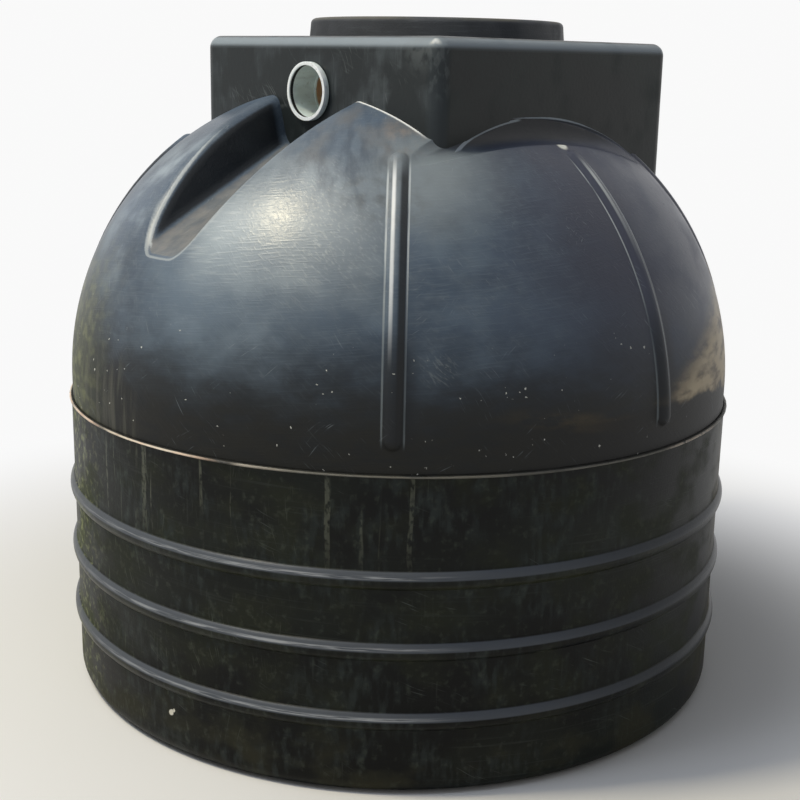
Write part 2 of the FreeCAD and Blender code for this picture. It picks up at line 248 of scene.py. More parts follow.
# Mould seam: the thin flash that squeezed out where the two mould halves met, round the widest
# part of the tank. It is the same polyethylene, trimmed by hand, so its edge wanders and is pale.
flash_height = 0.667
flash_root_radius = 0.7735
flash_root_rise = 0.0042
flash_shoulder_radius = 0.7772
flash_edge_radius = 0.7800
flash_brow_radius = 0.7790
flash_thickness = 0.0021
edge_wander = 0.0018
thickness_wander = 0.0005
height_wander = 0.0006
flash_steps = 1080
wave_count = 14
random.seed(11)
waves = [(random.choice((3, 5, 8, 13, 21, 34, 55, 89)), random.uniform(0, 6.28), random.uniform(0.3, 1.0))
         for _ in range(wave_count)]
flash_points = []
flash_faces = []
for step in range(flash_steps):
    turn = 2 * math.pi * step / flash_steps
    ragged = sum(size * math.sin(count * turn + start) for count, start, size in waves) / wave_count
    outer = flash_edge_radius + edge_wander * ragged
    thick = flash_thickness + thickness_wander * math.sin(9 * turn + 1)
    lift = height_wander * math.sin(4 * turn)
    section = [(flash_root_radius, -flash_root_rise), (flash_shoulder_radius, -thick),
               (outer, -0.45 * thick), (outer + 0.0004, 0.2 * thick),
               (flash_brow_radius, 0.75 * thick), (flash_root_radius, flash_root_rise)]
    for section_radius, rise in section:
        flash_points.append((section_radius * math.cos(turn), section_radius * math.sin(turn),
                             flash_height + lift + rise))
    corners = len(section)
    first = step * corners
    next_first = (step + 1) % flash_steps * corners
    for corner in range(corners):
        next_corner = (corner + 1) % corners
        flash_faces.append((first + corner, next_first + corner,
                            next_first + next_corner, first + next_corner))
flash_mesh = bpy.data.meshes.new("mould_flash")
flash_mesh.from_pydata(flash_points, [], flash_faces)
flash_mesh.shade_smooth()
flash = bpy.data.objects.new("mould_flash", flash_mesh)
bpy.context.scene.collection.objects.link(flash)

# Trimmed polyethylene: cut with a knife, so it is paler and drier than the moulded skin.
flash_skin, tree, shader = plastic("trimmed_polyethylene", polyethylene_ior, 0.4)
place, axes = skin_place(tree)
along, radius = (axes, "X"), (axes, "Z")
bleached = ramp(tree, along, -0.16, -0.46)
blotch = between(tree, along, 0.60, 0.66, 0.80, 0.86)
tip = ramp(tree, radius, 0.7760, 0.7785)
long_breaks = marks(tree, place, (180, 50, 50), 0.30, 0.52)
short_breaks = marks(tree, place, (12, 8, 10), 0.30, 0.55, shift=3.0)
pink = marks(tree, place, (60, 30, 30), 0.44, 0.60, shift=5.0)
colour = layered(tree, "#171815", [
    ("#6a6860", 0.85, tip, long_breaks),
    ("#cfc2b2", 0.75, tip, blotch, short_breaks),
    ("#e2d6c6", 0.95, tip, bleached, long_breaks),
    ("#e3bfa6", 0.45, tip, bleached, pink)])
rough = add(tree, "ShaderNodeMapRange", {"Value": short_breaks, "To Min": 0.45, "To Max": 0.62})
bump = add(tree, "ShaderNodeBump", {"Strength": 0.20, "Distance": 0.001, "Height": short_breaks})
wire(tree, shader, colour, (rough, "Result"), (bump, "Normal"))
flash_mesh.materials.append(flash_skin)
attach(flash, "root")
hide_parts("mould_seam")

# Dome: the upper half of the same moulding, with half-round ribs down its shoulder, a deep
# trough for the inlet pipe and a shallow dip along each side of the shaft. The sun has chalked it
# blue-grey, handling has polished and scratched it, and mud has dried on its right-hand side.
# Over this are painted: sky reflection in the bloom, a sheen round the lamp's highlight, highlights
# on edges and ribs, and shade on the right-hand side, in the dips, the trough and beside the ribs.
dome_nodes = ["dome_inlet", "dome_corner_1", "dome_left", "dome_corner_2",
              "dome_outlet", "dome_corner_3", "dome_right", "dome_corner_4"]
panel_length = math.pi * tank_radius / 4
shaft_centre_x = 0.104
dip_arc_centre = (0.030, 0.0, 0.711)
sheen_centre = (-0.571, -0.248, 1.132)
worn_edge = "#a9b3ba"

# Chalked polyethylene: a thin blue-grey bloom over satin black, partly chalk and partly painted sky
# reflection, cut through by fine wiping lines.
# They are under 1 mm in life and are drawn 3 to 5 mm wide, so that they show.
dome_skin, tree, shader = plastic("chalked_black_polyethylene", polyethylene_ior, 0.25)
place, axes = skin_place(tree)
along, height, radius = (axes, "X"), (axes, "Y"), (axes, "Z")
here = (add(tree, "ShaderNodeTexCoord", {}), "Object")
world_axes = add(tree, "ShaderNodeSeparateXYZ", {"Vector": here})
x, y = (world_axes, "X"), (world_axes, "Y")
facing = add(tree, "ShaderNodeSeparateXYZ", {"Vector": (add(tree, "ShaderNodeNewGeometry", {}), "Normal")})
facing_x, facing_y, facing_z = (facing, "X"), (facing, "Y"), (facing, "Z")
wavy = bent(tree, place, 200, 40)
ripple = bent(tree, place, 120, 6)
wavy_here = bent(tree, here, 160, 40)

# Bloom on the upper half, partly chalk and partly painted sky reflection, with the wiping lines in
# it, and a darker band below.
cloud = marks(tree, place, (330, 260, 330), 0.34, 0.68, shift=1.0)
patches = marks(tree, place, (120, 90, 120), 0.42, 0.72, shift=6.0, detail=8.0)
mottle = marks(tree, place, (34, 26, 34), 0.40, 0.74, shift=16.0, detail=7.0)
wiped = marks(tree, ripple, (70, 4, 5), 0.44, 0.80, shift=3.0, tilt=-6.0, detail=3.0)
cross_wiped = marks(tree, ripple, (44, 5, 5), 0.48, 0.80, shift=13.0, tilt=38.0)
uneven_node = add(tree, "ShaderNodeMath", {0: patches, 1: 0.035, 2: height}, operation="MULTIPLY_ADD")
uneven_height = (uneven_node, 0)
bloom_and_sky_reflection = ramp(tree, uneven_height, 0.70, 1.06)
low = ramp(tree, uneven_height, 0.97, 0.70)
worn_front = between(tree, along, -1.15, -0.62, 0.02, 0.60)
# Painted shade: the bloom is darker and more purple on the right-hand side, away from the lamps.
shaded_right_side = ramp(tree, along, 0.05, 0.55)
# Painted sky reflection: lighter blue-grey on the left of the dome and beyond the trough.
left_sky_reflection = spot(tree, wavy_here, (-0.735, -0.145, 0.945), 0.02, 0.26)
painted_sky_reflection = both(tree, spot(tree, here, (-0.62, 0.16, 1.16), 0.05, 0.30), ramp(tree, y, 0.09, 0.13))

# Places that hands and ropes have polished to a lower roughness, a painted sheen round the lamp's
# highlight, and scratches in patches.
polish = spot(tree, here, sheen_centre, 0.04, 0.24)
painted_sheen = spot(tree, wavy_here, (-0.575, -0.250, 1.115), 0.03, 0.36)
painted_sheen_left = spot(tree, wavy_here, (-0.625, -0.165, 1.095), 0.01, 0.16)
painted_sheen_right = spot(tree, wavy_here, (-0.540, -0.310, 1.120), 0.02, 0.20)
painted_sheen_top = spot(tree, wavy_here, (-0.345, -0.425, 1.225), 0.02, 0.20)
scratches = marks(tree, wavy, (70, 3, 20), 0.63, 0.74, shift=12.0, tilt=52.0, detail=2.0)
scratch_patch = marks(tree, place, (130, 100, 120), 0.52, 0.64, shift=25.0)
arcs = marks(tree, wavy, (60, 3, 20), 0.64, 0.74, shift=22.0, tilt=-38.0, detail=2.0)
arc_patch = marks(tree, place, (100, 120, 110), 0.56, 0.66, shift=27.0)
scuff = both(tree, spot(tree, here, (-0.468, -0.590, 0.869), 0.01, 0.05),
             marks(tree, wavy, (16, 5, 12), 0.50, 0.66, tilt=50.0))
grime = both(tree, spot(tree, here, (-0.561, -0.561, 0.868), 0.008, 0.026),
             marks(tree, place, (7, 7, 7), 0.34, 0.50))

# Dried mud on the right, the wet strip above the seam, lichen and runs on the left.
wedge = add(tree, "ShaderNodeMath", {0: height, 1: -1.9, 2: along}, operation="MULTIPLY_ADD")
mud_reach = add(tree, "ShaderNodeMath", {0: patches, 1: 0.34, 2: along}, operation="MULTIPLY_ADD")
mud_line = add(tree, "ShaderNodeMath", {0: along, 1: 0.16, 2: height}, operation="MULTIPLY_ADD")
mud_side = both(tree, ramp(tree, (wedge, 0), -0.90, -0.72),
                between(tree, uneven_height, 0.755, 0.775, 0.86, 1.02),
                ramp(tree, (mud_reach, 0), 1.55, 1.20))
mud_band = both(tree, between(tree, (mud_line, 0), 0.792, 0.804, 0.812, 0.842),
                ramp(tree, along, 0.16, 0.56), ramp(tree, along, 0.78, 0.68))
mud = marks(tree, place, (70, 26, 40), 0.32, 0.60, shift=8.0, detail=9.0)
mud_tip = both(tree, marks(tree, place, (26, 60, 40), 0.44, 0.66, shift=28.0, detail=8.0),
               ramp(tree, along, 0.98, 1.10))
wet_band = both(tree, ramp(tree, (mud_line, 0), 0.885, 0.862), ramp(tree, height, 0.770, 0.745),
                ramp(tree, along, 0.10, 0.50))
lichen_side = between(tree, along, -1.9, -1.4, -0.90, -0.66)
lichen_height = ramp(tree, height, 1.10, 0.80)
run_side = both(tree, between(tree, along, -0.92, -0.80, -0.62, -0.54), ramp(tree, height, 0.86, 0.76))
runs = marks(tree, place, (18, 260, 40), 0.46, 0.66, shift=9.0)

# Specks of lime and paint: one random dot to a cell of 13 mm, and only in some cells.
speck_cell = 13
cells = add(tree, "ShaderNodeTexVoronoi", {"Vector": bent(tree, place, 5, 4), "Scale": 1000 / speck_cell,
                                           "Randomness": 1.0})
speck = ramp(tree, (cells, "Distance"), 0.17, 0.10)
chosen = add(tree, "ShaderNodeSeparateColor", {"Color": (cells, "Color")})
rare = ramp(tree, (chosen, "Red"), 0.68, 0.72)
speck_patch = marks(tree, place, (80, 46, 100), 0.53, 0.58, shift=24.0)
speck_band = between(tree, height, 0.62, 0.70, 0.86, 0.95)
speck_side = ramp(tree, along, 0.74, 0.60)

# Distance along the wall from the middle of the nearest panel's rib, at the skin's own radius.
turns = add(tree, "ShaderNodeMath", {0: along, 1: 1 / panel_length}, operation="MULTIPLY")
half_turned = add(tree, "ShaderNodeMath", {0: (turns, 0), 1: 0.5}, operation="ADD")
to_panel_edge = add(tree, "ShaderNodeMath", {0: (half_turned, 0), 1: 0.5}, operation="PINGPONG")
to_rib = add(tree, "ShaderNodeMath", {0: (turns, 0), 1: 0.5, 2: -0.5}, operation="WRAP")
rib_angle = add(tree, "ShaderNodeMath", {0: (to_rib, 0), 1: math.pi / 4}, operation="MULTIPLY")
from_rib_node = add(tree, "ShaderNodeMath", {0: (rib_angle, 0), 1: radius}, operation="MULTIPLY")
off_rib_node = add(tree, "ShaderNodeMath", {0: (from_rib_node, 0)}, operation="ABSOLUTE")
from_rib, off_rib = (from_rib_node, 0), (off_rib_node, 0)
side_y_node = add(tree, "ShaderNodeMath", {0: y}, operation="ABSOLUTE")
side_y = (side_y_node, 0)

# Ribs: a worn line at each foot, a painted highlight on the left flank, painted shade on the right
# flank with a painted shadow beside it, a rubbed ridge on the right, and a painted highlight at
# the top end.
beside_trough = ramp(tree, side_y, 0.13, 0.17)
rib_height = both(tree, between(tree, height, 0.715, 0.74, 1.20, 1.25), beside_trough)
right_ribs = ramp(tree, along, 0.35, 0.50)
rib_foot = both(tree, between(tree, off_rib, 0.0188, 0.0205, 0.0225, 0.0240), rib_height,
                marks(tree, place, (20, 180, 100), 0.28, 0.52, shift=18.0))
bright_foot = both(tree, rib_foot, ramp(tree, height, 0.88, 1.10))
rib_shine = both(tree, between(tree, from_rib, -0.0135, -0.0105, -0.0070, -0.0030), rib_height,
                 ramp(tree, height, 0.86, 1.04), ramp(tree, along, 0.35, 0.20))
rib_ridge = both(tree, between(tree, from_rib, 0.0020, 0.0045, 0.0070, 0.0095), rib_height,
                 right_ribs, ramp(tree, height, 0.72, 0.90))
rib_painted_shade = both(tree, between(tree, from_rib, 0.0020, 0.0080, 0.0170, 0.0205), rib_height)
rib_painted_shadow = both(tree, between(tree, from_rib, 0.0170, 0.0220, 0.0260, 0.0600), rib_height,
                 ramp(tree, height, 0.98, 0.84))
rib_low = both(tree, ramp(tree, off_rib, 0.0205, 0.0170), rib_height, ramp(tree, height, 1.00, 0.86))
rib_end_highlight = spot(tree, here, (-0.008, -0.480, 1.260), 0.008, 0.017)
rib_tip_highlight = both(tree, between(tree, from_rib, -0.0080, -0.0050, -0.0005, 0.0030), right_ribs,
               ramp(tree, height, 1.02, 1.24), rib_height)

# Inlet trough: a dusty floor, a painted highlight along its lip and rim, and painted shade on the
# wall on its far side, which faces away from the lamp.
trough_dust = marks(tree, here, (40, 22, 30), 0.30, 0.70, shift=5.0, detail=7.0)
by_trough = both(tree, between(tree, y, 0.0, 0.01, 0.18, 0.20), ramp(tree, x, -0.29, -0.31))
in_trough = both(tree, between(tree, y, -0.13, -0.11, 0.09, 0.11), ramp(tree, x, -0.284, -0.292))
trough_floor = both(tree, in_trough, between(tree, facing_z, 0.55, 0.64, 0.93, 0.97),
                    between(tree, facing_y, -0.72, -0.52, 0.40, 0.62),
                    ramp(tree, facing_x, -0.52, -0.47))
trough_lip_highlight = both(tree, in_trough, between(tree, facing_z, 0.60, 0.66, 0.72, 0.80),
                  ramp(tree, x, -0.58, -0.64), ramp(tree, facing_x, -0.50, -0.60))
trough_rim_highlight = both(tree, by_trough, between(tree, facing_y, -0.70, -0.58, -0.48, -0.32),
                  ramp(tree, facing_x, -0.40, -0.50))
trough_wall = both(tree, ramp(tree, facing_y, -0.66, -0.82), by_trough)

# Where the dome meets the shaft: far_side is the distance from the shaft's middle to its side.
side_x = add(tree, "ShaderNodeMath", {0: x, 1: shaft_centre_x}, operation="SUBTRACT")
off_centre = add(tree, "ShaderNodeMath", {0: (side_x, 0)}, operation="ABSOLUTE")
far_side_node = add(tree, "ShaderNodeMath", {0: (off_centre, 0), 1: side_y}, operation="MAXIMUM")
far_side = (far_side_node, 0)
shaft_line = both(tree, ramp(tree, far_side, 0.3930, 0.3885), ramp(tree, height, 1.18, 1.22))
# Painted highlight: a thin bright line along the dome's edge at the foot of the shaft's inlet face.
sunny_line = both(tree, shaft_line, ramp(tree, x, -0.26, -0.275),
                  between(tree, y, -0.37, -0.32, -0.16, -0.12))
crown = spot(tree, wavy_here, (-0.420, -0.270, 1.235), 0.04, 0.20)
crown_wipes = marks(tree, ripple, (90, 34, 60), 0.36, 0.72, shift=41.0, tilt=58.0, detail=9.0)
crown_film = both(tree, ramp(tree, x, -0.24, -0.31), ramp(tree, y, -0.12, -0.20),
                  ramp(tree, height, 1.20, 1.26))
beside_rib = spot(tree, wavy_here, (-0.440, -0.400, 1.200), 0.01, 0.13)
brown_smear = both(tree, spot(tree, wavy_here, (-0.300, -0.335, 1.262), 0.02, 0.10), mottle)

# Side dips: dark where the shaft shades them, with a worn line along the edge and its arc.
steep = add(tree, "ShaderNodeMath", {0: facing_y}, operation="ABSOLUTE")
dip_edge = both(tree, between(tree, side_y, 0.382, 0.386, 0.390, 0.394),
                ramp(tree, height, 1.235, 1.250), ramp(tree, facing_z, 0.66, 0.84),
                ramp(tree, x, -0.080, -0.055))
arc_spot = add(tree, "ShaderNodeCombineXYZ", {"X": x, "Z": (world_axes, "Z")})
arc_away = add(tree, "ShaderNodeVectorMath", {0: (arc_spot, 0), 1: dip_arc_centre}, operation="DISTANCE")
dip_arc = both(tree, between(tree, (arc_away, "Value"), 0.5995, 0.6010, 0.6045, 0.6055),
               ramp(tree, side_y, 0.402, 0.396), ramp(tree, x, -0.030, -0.050))
dip_shade = both(tree, ramp(tree, height, 1.240, 1.275), ramp(tree, side_y, 0.450, 0.415),
                 ramp(tree, side_y, 0.380, 0.386))

colour = layered(tree, "#191d21", [
    ("#3c4856", 0.90, bloom_and_sky_reflection),
    ("#536376", 0.80, bloom_and_sky_reflection, cloud),
    ("#3c3c4b", 0.70, bloom_and_sky_reflection, shaded_right_side),
    ("#64727f", 0.60, patches, bloom_and_sky_reflection, worn_front),
    ("#5a6570", 0.50, mottle, bloom_and_sky_reflection, worn_front),
    ("#6d7882", 0.35, wiped, bloom_and_sky_reflection, worn_front),
    ("#808a92", 0.25, cross_wiped, mottle, worn_front),
    ("#7d8992", 0.50, painted_sheen),
    ("#9aa5ac", 0.50, painted_sheen, patches),
    ("#bac5cb", 0.62, painted_sheen_left),
    ("#d3d8d8", 0.45, painted_sheen_left, wiped),
    ("#a6aeb1", 0.55, painted_sheen_right),
    ("#cdd1cf", 0.45, painted_sheen_right, cross_wiped),
    ("#889195", 0.70, painted_sheen_top),
    ("#aebac4", 0.60, painted_sky_reflection, patches),
    ("#7d8d9c", 0.34, left_sky_reflection),
    ("#060806", 0.94, low),
    ("#15140d", 0.55, low, mud),
    ("#665b46", 0.90, mud_band, mud),
    ("#6b5f4e", 0.75, mud_side),
    ("#bfb197", 0.85, mud_side, mud),
    ("#f2e8d2", 0.90, mud_side, mud_tip),
    ("#030302", 0.99, wet_band),
    ("#343923", 0.80, lichen_side, lichen_height),
    ("#7b7f57", 0.60, lichen_side, lichen_height, mottle),
    ("#56564c", 0.50, run_side, runs),
    ("#2f3947", 0.60, crown, crown_wipes),
    ("#5d5a58", 0.65, crown_film, patches),
    ("#8f857e", 0.50, crown_film, brown_smear),
    ("#3b3836", 0.50, beside_rib, mottle),
    ("#65696c", 0.85, trough_floor),
    ("#83817e", 0.65, trough_floor, trough_dust),
    ("#a9b0b3", 0.60, trough_lip_highlight),
    ("#8e979d", 0.34, scratches, scratch_patch),
    ("#8e979d", 0.40, arcs, arc_patch),
    ("#0a0c0f", 0.92, trough_wall),
    ("#b4bbbf", 0.80, trough_rim_highlight),
    ("#14171b", 0.70, rib_low),
    ("#07090b", 0.85, rib_painted_shade),
    ("#0a0c0f", 0.60, rib_painted_shadow),
    ("#8a9298", 0.60, rib_ridge),
    ("#e2e6ea", 0.80, rib_shine),
    ("#7f888d", 0.60, rib_foot),
    ("#c3cace", 0.80, bright_foot),
    ("#14233a", 0.92, dip_shade),
    ("#020408", 0.85, dip_shade, ramp(tree, side_y, 0.430, 0.395)),
    ("#0a0e14", 0.92, dip_shade, ramp(tree, (steep, 0), 0.50, 0.75)),
    (worn_edge, 0.85, dip_edge),
    (worn_edge, 0.85, dip_arc),
    ("#eef1f2", 0.95, sunny_line),
    ("#9da4a5", 0.22, scuff),
    ("#e9ebe4", 0.95, rib_end_highlight),
    ("#c9cfd2", 0.80, rib_tip_highlight),
    ("#050505", 0.85, grime),
    ("#dfe0da", 0.95, speck, rare, speck_patch, speck_band, speck_side)])
rough_patch = add(tree, "ShaderNodeMapRange", {"Value": patches, "To Min": 0.36, "To Max": 0.48})
rough_low = add(tree, "ShaderNodeMix", {0: low, 2: (rough_patch, "Result"), 3: 0.58}, data_type="FLOAT")
rough = add(tree, "ShaderNodeMix", {0: polish, 2: (rough_low, 0), 3: 0.27}, data_type="FLOAT")

# Edges between the panels are softened up to 9 mm, but not within 20 mm of the shaft's foot.
soft_width = add(tree, "ShaderNodeMapRange", {"Value": (to_panel_edge, 0), "From Min": 0.03,
                                              "From Max": 0.05, "To Max": 0.009})
edge_width = add(tree, "ShaderNodeMath", {0: (soft_width, "Result"), 1: ramp(tree, far_side, 0.396, 0.408)},
                 operation="MULTIPLY")
soft_edge = add(tree, "ShaderNodeBevel", {"Radius": (edge_width, 0)}, samples=6)
pebble = grain(tree, here, (10, 10, 10), 0.0, 0.0, 3.0)
lines = add(tree, "ShaderNodeMath", {0: wiped, 1: cross_wiped}, operation="ADD")
relief = add(tree, "ShaderNodeMath", {0: (lines, 0), 1: pebble}, operation="ADD")
bump = add(tree, "ShaderNodeBump", {"Strength": 0.13, "Distance": 0.002, "Height": (relief, 0),
                                    "Normal": (soft_edge, "Normal")})
wire(tree, shader, colour, (rough, 0), (bump, "Normal"))
dress(dome_skin, dome_nodes)

# Shaft: the square turret on the dome with its short round neck, still the same moulding. Its
# flat faces carry up-and-down scuffs from the mould and from handling; the face on the inlet's side
# is painted lighter as the lit side, and a painted highlight runs along its top edge.
shaft_nodes = ["shaft_inlet_wall", "shaft_left_wall", "shaft_outlet_wall", "shaft_right_wall",
               "shaft_top", "manhole_neck"]

# Scuffed polyethylene: satin black with grey drag marks. They are 1 mm wide in life and are drawn
# 3 to 6 mm wide, so that they show.
shaft_skin, tree, shader = plastic("scuffed_black_polyethylene", polyethylene_ior, 0.22)
here = (add(tree, "ShaderNodeTexCoord", {}), "Object")
axes = add(tree, "ShaderNodeSeparateXYZ", {"Vector": here})
x, y, height = (axes, "X"), (axes, "Y"), (axes, "Z")
facing = add(tree, "ShaderNodeSeparateXYZ", {"Vector": (add(tree, "ShaderNodeNewGeometry", {}), "Normal")})
facing_x, facing_y, facing_z = (facing, "X"), (facing, "Y"), (facing, "Z")
across = add(tree, "ShaderNodeMath", {0: x, 1: y}, operation="ADD")
face = (add(tree, "ShaderNodeCombineXYZ", {"X": (across, 0), "Y": height, "Z": x}), "Vector")
wavy = bent(tree, face, 200, 60)

# Drag marks and smears, strongest on the inlet's side, which is also painted lighter all over as
# the side that faces the lamp.
cloud = marks(tree, face, (260, 190, 500), 0.38, 0.68, shift=1.0)
smears = marks(tree, face, (70, 110, 500), 0.46, 0.70, shift=5.0, detail=8.0)
drags = marks(tree, face, (4, 90, 500), 0.50, 0.74, shift=2.0)
level_drags = marks(tree, face, (120, 5, 500), 0.54, 0.76, shift=12.0, tilt=8.0)
scratches = marks(tree, wavy, (3, 70, 500), 0.60, 0.72, shift=8.0, tilt=31.0, detail=2.0)
arcs = marks(tree, wavy, (80, 6, 500), 0.56, 0.74, shift=18.0, tilt=-20.0, detail=3.0)
arc_patch = marks(tree, face, (120, 90, 500), 0.54, 0.64, shift=28.0)
inlet_side = ramp(tree, facing_x, -0.3, -0.9)
palm_smear = both(tree, spot(tree, bent(tree, here, 120, 40), (-0.286, -0.250, 1.390), 0.02, 0.13),
                  inlet_side)
foot_dark = ramp(tree, height, 1.34, 1.22)

# A painted highlight along the top edge, dust on top, and the near corner with the rubs that run
# down from it.
top_edge_highlight = both(tree, between(tree, height, 1.435, 1.458, 1.480, 1.500),
                ramp(tree, facing_z, 0.02, 0.45), ramp(tree, facing_z, 0.98, 0.80))
top_dust = both(tree, ramp(tree, facing_z, 0.6, 0.95),
                marks(tree, here, (90, 90, 90), 0.30, 0.78, shift=31.0))
corner = both(tree, ramp(tree, facing_x, 0.1, -0.4), ramp(tree, facing_y, 0.1, -0.4))
corner_marks = marks(tree, here, (20, 20, 20), 0.34, 0.56, shift=6.0, detail=6.0)
corner_rub = spot(tree, bent(tree, here, 30, 10), (-0.276, -0.370, 1.468), 0.006, 0.016)
corner_trail = both(tree, spot(tree, here, (-0.284, -0.335, 1.455), 0.010, 0.070), corner_marks)
edge_trail = both(tree, spot(tree, here, (-0.270, -0.374, 1.420), 0.020, 0.090), corner,
                  marks(tree, here, (12, 12, 30), 0.46, 0.66, shift=9.0))

# Foot of the side walls: the dip's arc goes on here, with painted shade below the line where the
# dome starts, as in the dip.
side_flat = add(tree, "ShaderNodeMath", {0: facing_y}, operation="ABSOLUTE")
dip_side = ramp(tree, (side_flat, 0), 0.85, 0.95)
arc_spot = add(tree, "ShaderNodeCombineXYZ", {"X": x, "Z": height})
arc_away = add(tree, "ShaderNodeVectorMath", {0: (arc_spot, 0), 1: dip_arc_centre}, operation="DISTANCE")
dip_back = both(tree, ramp(tree, (arc_away, "Value"), 0.6035, 0.6015), dip_side)
dip_line = both(tree, between(tree, (arc_away, "Value"), 0.5995, 0.6005, 0.6030, 0.6040), dip_side)

colour = layered(tree, "#0a0f0e", [
    ("#141c1a", 0.80, cloud),
    ("#212628", 0.80, inlet_side),
    ("#3b4145", 0.80, smears, inlet_side),
    ("#565b5d", 0.60, drags, smears, inlet_side),
    ("#222a28", 0.35, level_drags, cloud),
    ("#4c5153", 0.40, level_drags, smears, inlet_side),
    ("#6a7071", 0.50, scratches, arc_patch, inlet_side),
    ("#565c5e", 0.50, arcs, arc_patch, inlet_side),
    ("#0c0f0e", 0.50, foot_dark, cloud),
    ("#535a5d", 0.45, palm_smear, smears),
    ("#2e353a", 0.60, corner),
    ("#8a959e", 0.85, top_edge_highlight),
    ("#56585a", 0.50, top_dust),
    ("#7d8486", 0.26, corner_trail),
    ("#7d8486", 0.22, edge_trail),
    ("#121923", 0.95, dip_back),
    (worn_edge, 0.90, dip_line),
    ("#eceeec", 0.95, corner_rub)])
rough = add(tree, "ShaderNodeMapRange", {"Value": smears, "To Min": 0.38, "To Max": 0.54})
pebble = grain(tree, here, (9, 9, 9), 0.0, 0.0, 3.0)
relief = add(tree, "ShaderNodeMath", {0: both(tree, drags, smears, inlet_side), 1: pebble}, operation="ADD")
bump = add(tree, "ShaderNodeBump", {"Strength": 0.14, "Distance": 0.002, "Height": (relief, 0)})
wire(tree, shader, colour, (rough, "Result"), (bump, "Normal"))
dress(shaft_skin, shaft_nodes)

# Manhole cover: a shallow round cap that drops over the neck, moulded by itself in the same black
# polyethylene. It lifts off, and rain leaves dust on its top.
cover_nodes = ["manhole_cover"]

# Polyethylene from a blasted mould: dull, with a grain of 0.5 mm that is drawn at 4 mm to show.
cover_skin, tree, shader = plastic("blasted_black_polyethylene", polyethylene_ior, 0.30)
here = (add(tree, "ShaderNodeTexCoord", {}), "Object")
facing = add(tree, "ShaderNodeSeparateXYZ", {"Vector": (add(tree, "ShaderNodeNewGeometry", {}), "Normal")})
top = ramp(tree, (facing, "Z"), 0.3, 0.9)
cloud = marks(tree, here, (170, 170, 170), 0.36, 0.66)
dust = marks(tree, here, (70, 70, 70), 0.42, 0.70, shift=4.0, detail=8.0)
puddle = marks(tree, here, (260, 260, 260), 0.46, 0.54, shift=24.0, detail=3.0)
rubs = marks(tree, here, (100, 100, 4), 0.50, 0.72, shift=7.0)
scratches = marks(tree, bent(tree, here, 200, 60), (90, 4, 90), 0.60, 0.74, shift=11.0, tilt=20.0)
colour = layered(tree, "#303338", [
    ("#3c4045", 0.80, cloud),
    ("#5a5f64", 0.50, rubs, cloud),
    ("#57564f", 0.60, dust, top),
    ("#6a675c", 0.35, puddle, top),
    ("#767a7a", 0.40, scratches, dust, top)])
rough = add(tree, "ShaderNodeMapRange", {"Value": dust, "To Min": 0.52, "To Max": 0.72})
blasted = grain(tree, here, (4, 4, 4), 0.0, 0.0, 2.0)
soft_edge = add(tree, "ShaderNodeBevel", {"Radius": 0.004}, samples=6)
bump = add(tree, "ShaderNodeBump", {"Strength": 0.25, "Distance": 0.002, "Height": blasted,
                                    "Normal": (soft_edge, "Normal")})
wire(tree, shader, colour, (rough, "Result"), (bump, "Normal"))
dress(cover_skin, cover_nodes)

# Pipe sockets: pale grey double sockets for 110 mm pipe, one through each of two opposite shaft
# faces, held by a sealing ring in the wall. They are extruded and belled by the pipe maker.
socket_nodes = ["inlet_socket", "outlet_socket"]
pvc_ior = 1.53

# Extruded PVC: smooth and nearly white outside; inside the bore it is greyer, painted shade under a
# thin grey-green film of damp.
socket_skin, tree, shader = plastic("pale_grey_pvc", pvc_ior, 0.5)
here = (add(tree, "ShaderNodeTexCoord", {}), "Object")
axes = add(tree, "ShaderNodeSeparateXYZ", {"Vector": here})
shaded_bore = both(tree, ramp(tree, (axes, "X"), -0.294, -0.286), ramp(tree, (axes, "X"), 0.502, 0.494))
film = marks(tree, here, (70, 25, 25), 0.30, 0.62)
drips = marks(tree, here, (60, 9, 60), 0.48, 0.66, shift=3.0)
spots = marks(tree, here, (8, 8, 8), 0.62, 0.72, shift=3.0)
colour = layered(tree, "#f3faff", [
    ("#e2eeed", 0.90, shaded_bore),
    ("#c9d8d6", 0.50, shaded_bore, film),
    ("#a8b6b0", 0.35, shaded_bore, drips),
    ("#d3d8d8", 0.25, drips),
    ("#8b8a7c", 0.35, spots)])
rough = add(tree, "ShaderNodeMapRange", {"Value": film, "To Min": 0.26, "To Max": 0.42})
soft_edge = add(tree, "ShaderNodeBevel", {"Radius": 0.0015}, samples=4)
wire(tree, shader, colour, (rough, "Result"), (soft_edge, "Normal"))
dress(socket_skin, socket_nodes)

# Seals: black rubber rings that sit in a groove just inside each socket's mouth and grip the pipe.
# They are moulded in one piece and pushed into the groove by hand.
seal_nodes = ["inlet_seal", "outlet_seal"]

# Moulded EPDM rubber: matt black with a faint grey bloom.
seal_skin, tree, shader = plastic("black_epdm_rubber", 1.52, 0.3)
here = (add(tree, "ShaderNodeTexCoord", {}), "Object")
bloom = marks(tree, here, (16, 16, 16), 0.40, 0.70)
colour = layered(tree, "#0d0e0e", [("#2a2c2e", 0.6, bloom)])
rough = add(tree, "ShaderNodeMapRange", {"Value": bloom, "To Min": 0.60, "To Max": 0.78})
bump = add(tree, "ShaderNodeBump", {"Strength": 0.20, "Distance": 0.001, "Height": bloom})
wire(tree, shader, colour, (rough, "Result"), (bump, "Normal"))
dress(seal_skin, seal_nodes)

# Bends and dip pipes: plain drain pipe, pushed into the back of each socket and turned down into
# the water, so that scum stays in the tank.
drain_nodes = ["inlet_bend", "inlet_dip_pipe", "outlet_bend", "outlet_dip_pipe"]

